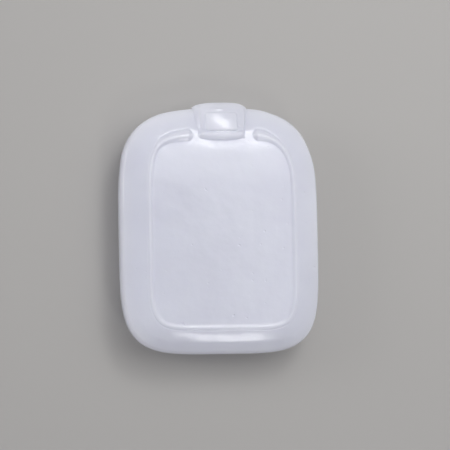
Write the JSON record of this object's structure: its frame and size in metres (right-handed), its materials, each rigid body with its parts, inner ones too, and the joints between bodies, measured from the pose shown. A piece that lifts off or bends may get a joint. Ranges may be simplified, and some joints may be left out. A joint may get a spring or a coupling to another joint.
{
  "type": "jade plaque",
  "caption": "Carved jade pendant plaque with a fine raised line round its panel, a raised head and a slanting cord hole.",
  "frame": {"origin": "on the flat back, below the middle of the plaque's outline box", "axes": "+X to the right across the face, +Y towards the head, +Z out of the carved face"},
  "size_m": [0.0446, 0.0556, 0.0116],
  "materials": {
    "jade": "polished, translucent"
  },
  "bodies": {
    "root": {"plaque": "jade"}
  },
  "joints": []
}
